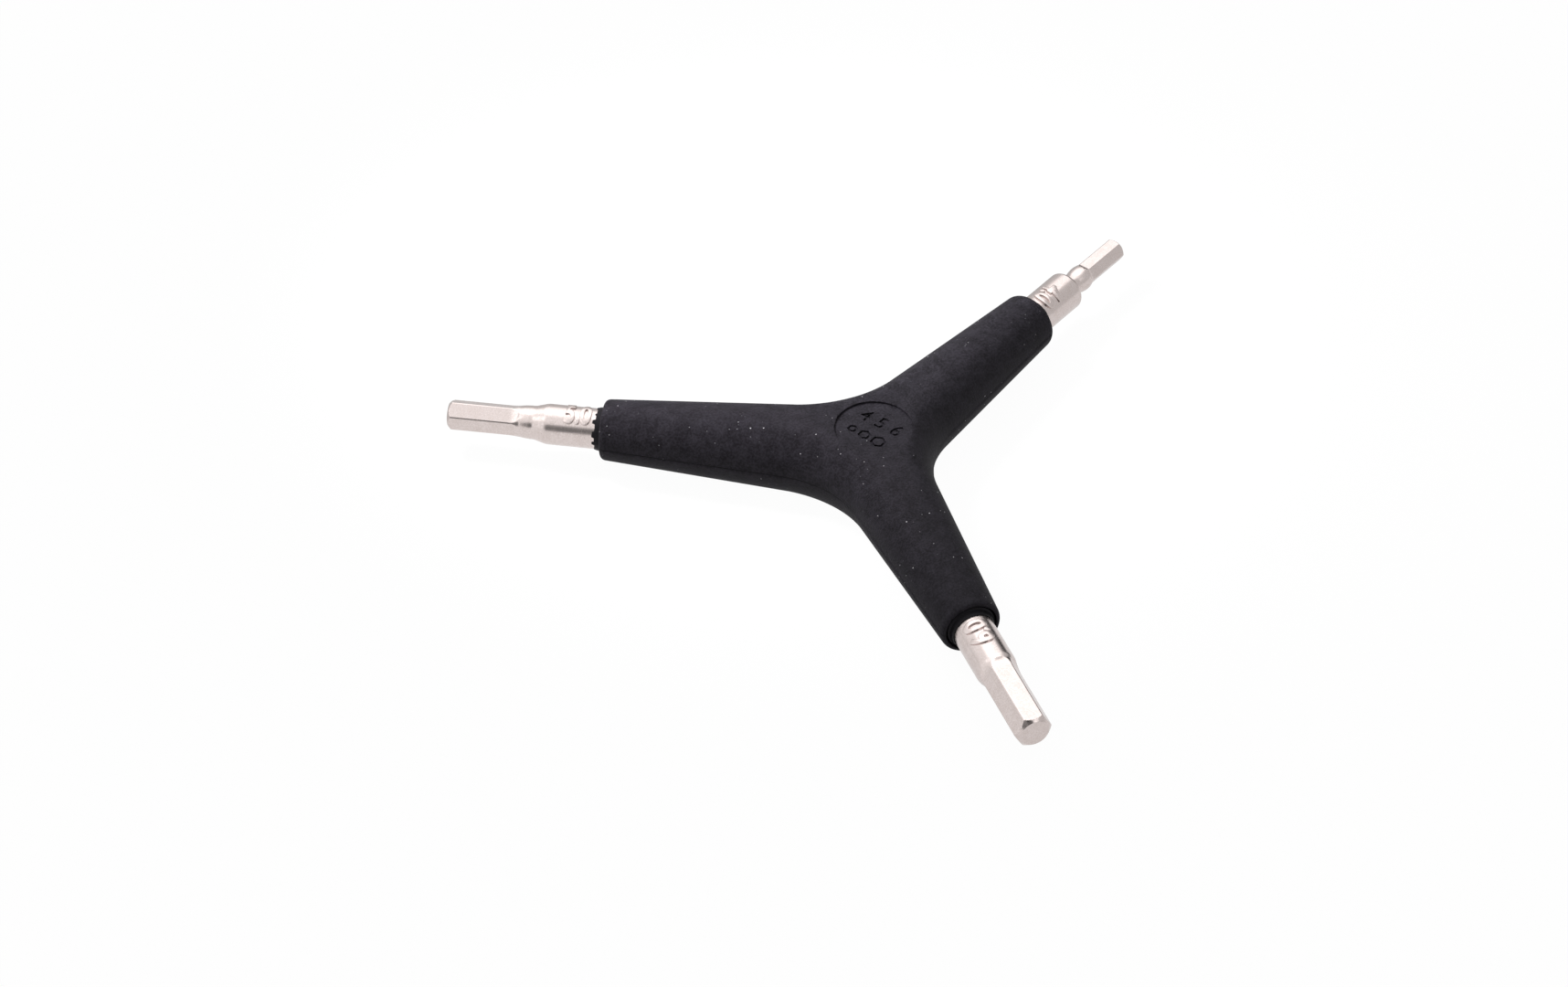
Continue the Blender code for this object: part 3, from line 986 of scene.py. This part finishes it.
class WRENCH_OT_hex_keys(bpy.types.Operator):
    """Model the three plated hexagon keys"""

    bl_idname = "wrench.hex_keys"
    bl_label = "Hexagon Keys"

    def execute(self, context):
        wrench = settings()
        make_key("hex_key_4mm", wrench.key4, KEY4_HEADING, first_turn=0.0,
                 figure="4.0", figure_end=0.0553, lean=math.radians(11))
        make_key("hex_key_5mm", wrench.key5, KEY5_HEADING, first_turn=HEX_HALF_TURN,
                 figure="5.0", figure_end=0.0552, lean=math.radians(-13))
        make_key("hex_key_6mm", wrench.key6, KEY6_HEADING, first_turn=0.0,
                 figure="6.0", figure_end=0.0560, lean=math.radians(10))
        return {"FINISHED"}


class WRENCH_OT_grip(bpy.types.Operator):
    """Model the soft outer Y with its parting line and its sunk field of figures"""

    bl_idname = "wrench.grip"
    bl_label = "Soft Grip"

    def execute(self, context):
        sizes = settings().grip
        finishes = settings().finishes
        material = moulded_material(
            "grip_rubber_moulded", finishes.rubber, finishes.rubber_bloom,
            patch_size=0.0022, grain_size=0.00040, roughness=0.68, depth=0.00009,
        )
        piece = start_piece("grip_moulding")
        rings = arm_rings(sizes, 0.0, sizes.flat_blend, sizes.seam_depth)
        start = sizes.arm_reach - sizes.rim_length
        cone = half_width(sizes, start, 0.0)
        for way in fractions(1, RIM_STEPS):
            angle = math.pi / 2 * way
            along = start + sizes.rim_length * math.sin(angle)
            rings.append(round_ring(sizes, along, cone - sizes.rim_drop * (1.0 - math.cos(angle))))
        mouth = half_width(sizes, start, sizes.wall)
        for depth, widen in (*MOUTH_RINGS, (sizes.rim_length, 0.0)):
            rings.append(round_ring(sizes, sizes.arm_reach - depth, mouth + widen))
        rings += reversed(arm_rings(sizes, sizes.wall)[:-1:2])
        loft(piece, turned(rings, KEY4_HEADING, sizes.half_height))
        copy_round()
        finish_piece(piece, material, MOULDED_SMOOTH)
        self.sink_field(piece, sizes)
        self.sink_figures(piece, sizes)
        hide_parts("handle_grip")
        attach(piece, ROOT_BODY)
        return {"FINISHED"}

    def sink_field(self, piece, sizes):
        """Sink the round field into the flat top and soften its rim."""
        top = 2 * sizes.half_height
        middle = Vector(sizes.field_middle)
        bpy.ops.mesh.primitive_cylinder_add(
            vertices=FIELD_SIDES, radius=sizes.field_radius, depth=sizes.field_depth + CUT_OVERRUN,
            location=(middle.x, middle.y, top + (CUT_OVERRUN - sizes.field_depth) / 2),
        )
        apply_boolean(piece, bpy.context.object)
        bpy.ops.object.mode_set(mode="EDIT")

        def on_rim(place):
            out = math.hypot(place.x - middle.x, place.y - middle.y)
            return place.z > top - RIM_HEIGHT_TOUCH and abs(out - sizes.field_radius) < RIM_RADIUS_TOUCH

        pick_points(piece, on_rim)
        bpy.ops.mesh.bevel(offset=FIELD_BEVEL, segments=2)
        bpy.ops.object.mode_set(mode="OBJECT")
        bpy.ops.object.shade_smooth_by_angle(angle=MOULDED_SMOOTH)

    def sink_figures(self, piece, sizes):
        """Sink the three key sizes and three hexagons of growing size into the field."""
        floor = 2 * sizes.half_height - sizes.field_depth
        middle = Vector(sizes.field_middle)
        upwards = facing(KEY4_HEADING)
        across = Vector((upwards.y, -upwards.x, 0.0))
        turn = Matrix.Rotation(KEY4_HEADING - math.pi / 2, 4, "Z")
        figures = []
        for body, right in FIELD_FIGURES:
            figure = raised_text(
                "figure_" + body, body, sizes.figure_height, sizes.figure_weight, sizes.figure_depth, 0.0)
            figures.append((figure, right, FIGURE_ROW))
        for radius, right in FIELD_HEXAGONS:
            figures.append((raised_hexagon(radius, sizes.figure_depth), right, HEXAGON_ROW))
        for figure, right, row in figures:
            place = middle + across * right + upwards * row + UP * floor
            figure.data.transform(Matrix.Translation(place) @ turn)
        cutter, *others = [figure for figure, right, row in figures]
        join_into(cutter, others)
        apply_boolean(piece, cutter)
        bpy.ops.object.mode_set(mode="EDIT")
        weld_all()
        bpy.ops.object.mode_set(mode="OBJECT")
        bpy.ops.object.shade_smooth_by_angle(angle=MOULDED_SMOOTH)


class WRENCH_OT_core(bpy.types.Operator):
    """Model the hard inner Y with its noses round the keys"""

    bl_idname = "wrench.core"
    bl_label = "Hard Core"

    def execute(self, context):
        grip = settings().grip
        core = settings().core
        shared = settings().keys
        finishes = settings().finishes
        material = moulded_material(
            "core_plastic_moulded", finishes.plastic, finishes.plastic_bloom,
            patch_size=0.0015, grain_size=0.0002, roughness=0.48, depth=0.00002,
        )
        piece = start_piece("core_moulding")
        inset = grip.wall + core.gap
        reach = grip.arm_reach
        foot = half_width(grip, reach - grip.rim_length, inset)
        bore = shared.shank_radius + core.socket_gap / 4
        collar = shared.shank_radius + core.nose_wall
        end = reach + core.nose_out
        bottom = shared.root - core.socket_gap
        rings = arm_rings(grip, inset)
        for along, radius, flash in (
            (reach - core.gap, foot, 0.0),
            (reach - core.gap * 0.9, foot - NOSE_BEVEL, 0.0),
            (reach - core.gap / 2, collar + NOSE_FLARE, 0.0),
            (reach, collar + NOSE_LOW_FLARE, 0.0),
            (reach + core.nose_out * 0.5, collar, 0.0),
            (end - NOSE_WORN_LENGTH, collar - NOSE_WORN_DEPTH, core.flash * 0.5),
            (end, shared.shank_radius + core.nose_lip, core.flash),
            (end - NOSE_LIP_DEPTH, bore, core.flash),
            (reach, bore, 0.0),
            (reach - NOSE_MOUTH, bore, 0.0),
            (bottom, bore, 0.0),
        ):
            rings.append(self.ragged_ring(grip, along, radius, flash))
        loft(piece, turned(rings, KEY4_HEADING, grip.half_height))
        out = facing(KEY4_HEADING)
        middle = UP * grip.half_height + out * bottom
        pick_points(
            piece, lambda place: abs((place - middle).dot(out)) < WELD
            and (place - middle).length < collar)
        bpy.ops.mesh.edge_face_add()
        copy_round()
        self.pull_teeth(piece, grip, end)
        finish_piece(piece, material, MOULDED_SMOOTH)
        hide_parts("handle_core")
        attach(piece, ROOT_BODY)
        return {"FINISHED"}

    def pull_teeth(self, piece, grip, end):
        """Pull a few torn teeth of flash out of the nose round the 5 mm key."""
        out = facing(KEY5_HEADING)
        left = UP.cross(out)
        for middle, half_turn, reach in FLASH_TEETH:

            def in_tooth(place):
                angle = math.degrees(math.atan2(place.z - grip.half_height, place.dot(left)))
                return place.dot(out) > end - FLASH_BAND and abs(angle - middle) < half_turn

            pick_points(piece, in_tooth)
            bpy.ops.transform.translate(value=out * reach)

    def ragged_ring(self, grip, along, radius, flash):
        """A round ring whose places along the key wander by the flash, as a moulded edge does."""
        ring = round_ring(grip, along, radius)
        for point in ring:
            angle = math.atan2(point.z, point.y)
            teeth = math.sin(angle * 23.0) * math.sin(angle * 9.0 + 1.0)
            slow = math.sin(angle * 3.0 + 0.6)
            point.x += flash * (0.75 * teeth + 0.35 * slow)
        return ring


class WRENCH_OT_stage(bpy.types.Operator):
    """Set the pale floor, the soft light and the camera"""

    bl_idname = "wrench.stage"
    bl_label = "Stage"

    def execute(self, context):
        self.lay_floor()
        self.light_world()
        self.hang_lamp(
            "AREA", "overhead_softbox", (0.15, 0.60, 1.20), (0.0, 0.0, 0.0),
            energy=1.6, shape="RECTANGLE", size=1.6, size_y=1.6,
        )
        spot = self.hang_lamp(
            "SPOT", "rear_spot", (-0.08, 0.10, 0.15), (0.0, 0.050, 0.0),
            energy=7.5, shadow_soft_size=0.04, spot_size=math.radians(50), spot_blend=0.9,
        )
        spot.visible_glossy = False
        self.set_camera()
        context.scene.view_settings.view_transform = "Standard"
        return {"FINISHED"}

    def lay_floor(self):
        """A wide pale floor under the wrench."""
        bpy.ops.mesh.primitive_plane_add(size=12.0, location=(0.0, 0.0, 0.0))
        floor = bpy.context.object
        floor.name = "floor"
        material, tree, shader, coordinates = start_material("pale_floor")
        paper = opaque(settings().finishes.floor)
        fill(tree, shader, Base_Color=paper, Roughness=0.9, Specular_IOR_Level=0.0)
        path = node(tree, "ShaderNodeLightPath", (-500, 400)).outputs
        mirrored = math_node(
            tree, "MAXIMUM", (-300, 300), path["Is Glossy Ray"], path["Is Transmission Ray"])
        viewed = math_node(tree, "MULTIPLY", (-100, 450), path["Is Camera Ray"], FLOOR_WHITE_SHARE)
        split = node(tree, "ShaderNodeSeparateXYZ", (-500, 700), Vector=coordinates).outputs
        right = ramp(tree, split["X"], (-300, 700), *FLOOR_DIM_RIGHT)
        rear = ramp(tree, split["Y"], (-300, 900), *FLOOR_DIM_REAR)
        dim = math_node(tree, "ADD", (100, 800), right, rear)
        strength = math_node(tree, "MULTIPLY_ADD", (300, 600), mirrored, dim, 1.0)
        white = node(tree, "ShaderNodeEmission", (900, 300), Strength=strength)
        mixed = math_node(tree, "MAXIMUM", (300, 400), viewed, mirrored)
        blend = node(tree, "ShaderNodeMixShader", (1100, 200), Fac=mixed)
        put(tree, shader.outputs["BSDF"], blend.inputs[1])
        put(tree, white.outputs["Emission"], blend.inputs[2])
        fill(tree, tree.nodes["Material Output"], Surface=blend.outputs["Shader"])
        floor.data.materials.append(material)

    def light_world(self):
        """A light tent with three bright panels and three black flags, which the camera sees as white."""
        world = bpy.data.worlds.new("studio")
        bpy.context.scene.world = world
        world.use_nodes = True
        tree = world.node_tree
        look = node(tree, "ShaderNodeTexCoord", (-1500, 0)).outputs["Generated"]
        light = self.cone(tree, look, *TENT)
        for panel in PANELS:
            light = math_node(tree, "ADD", (-700, 100), light, self.cone(tree, look, *panel))
        for flag in FLAGS:
            light = math_node(tree, "MULTIPLY", (-400, 0), light, self.cone(tree, look, *flag))
        path = node(tree, "ShaderNodeLightPath", (-500, -300)).outputs
        seen = math_node(
            tree, "MAXIMUM", (-250, -200), path["Is Camera Ray"], path["Is Transmission Ray"])
        strength = node(tree, "ShaderNodeMix", (-50, 0), data_type="FLOAT")
        for slot, value in ((0, seen), (2, light), (3, 1.0)):
            put(tree, value, strength.inputs[slot])
        white = (1.0, 1.0, 1.0, 1.0)
        fill(tree, tree.nodes["Background"], Color=white, Strength=strength.outputs[0])

    def cone(self, tree, look, middle, outer, inner, outside, inside):
        """A value that changes softly from outside a cone of directions to inside it."""
        near = node(tree, "ShaderNodeVectorMath", (-1300, -100), operation="DOT_PRODUCT")
        put(tree, look, near.inputs[0])
        put(tree, middle, near.inputs[1])
        low = math.cos(math.radians(outer))
        high = math.cos(math.radians(inner))
        return ramp(tree, near.outputs["Value"], (-1000, -100), low, high, outside, inside)

    def hang_lamp(self, kind, name, place, target, **values):
        """A lamp that faces a target and stays out of the picture."""
        bpy.ops.object.light_add(type=kind, location=place)
        lamp = bpy.context.object
        lamp.name = name
        set_values(lamp.data, **values)
        aim = Vector(target) - Vector(place)
        lamp.rotation_euler = aim.to_track_quat("-Z", "Y").to_euler()
        lamp.visible_camera = False
        return lamp

    def set_camera(self):
        """The camera where the photograph was taken from."""
        turn = tuple(math.radians(angle) for angle in CAMERA_TURN)
        bpy.ops.object.camera_add(location=CAMERA_PLACE, rotation=turn)
        camera = bpy.context.object
        camera.name = "camera"
        set_values(
            camera.data, sensor_fit="HORIZONTAL", sensor_width=CAMERA_SENSOR, lens=CAMERA_LENS,
            clip_start=0.01, clip_end=100.0,
        )
        bpy.context.scene.camera = camera


class WRENCH_PT_panel(bpy.types.Panel):
    """Lists the wrench's pieces and sizes in the sidebar"""

    bl_idname = "WRENCH_PT_panel"
    bl_label = "Y Wrench"
    bl_space_type = "VIEW_3D"
    bl_region_type = "UI"
    bl_category = "Y Wrench"

    def draw(self, context):
        layout = self.layout
        for operator in ("wrench.grip", "wrench.core", "wrench.hex_keys", "wrench.stage"):
            layout.operator(operator)
        wrench = context.scene.wrench
        for title in ("grip", "core", "keys", "key4", "key5", "key6", "finishes"):
            box = layout.box()
            box.label(text=title.capitalize())
            group = getattr(wrench, title)
            for name in group.__annotations__:
                box.prop(group, name)


CLASSES = (
    GripSizes, CoreSizes, Key4Sizes, Key5Sizes, Key6Sizes, KeySizes, Finishes, WrenchSettings,
    WRENCH_OT_grip, WRENCH_OT_core, WRENCH_OT_hex_keys, WRENCH_OT_stage, WRENCH_PT_panel,
)


def register():
    for item in CLASSES:
        bpy.utils.register_class(item)
    bpy.types.Scene.wrench = PointerProperty(type=WrenchSettings)


def unregister():
    del bpy.types.Scene.wrench
    for item in reversed(CLASSES):
        bpy.utils.unregister_class(item)


def main():
    """Make every piece and the stage."""
    register()
    bpy.ops.wrench.grip()
    bpy.ops.wrench.core()
    bpy.ops.wrench.hex_keys()
    bpy.ops.wrench.stage()


if __name__ == "__main__":
    main()
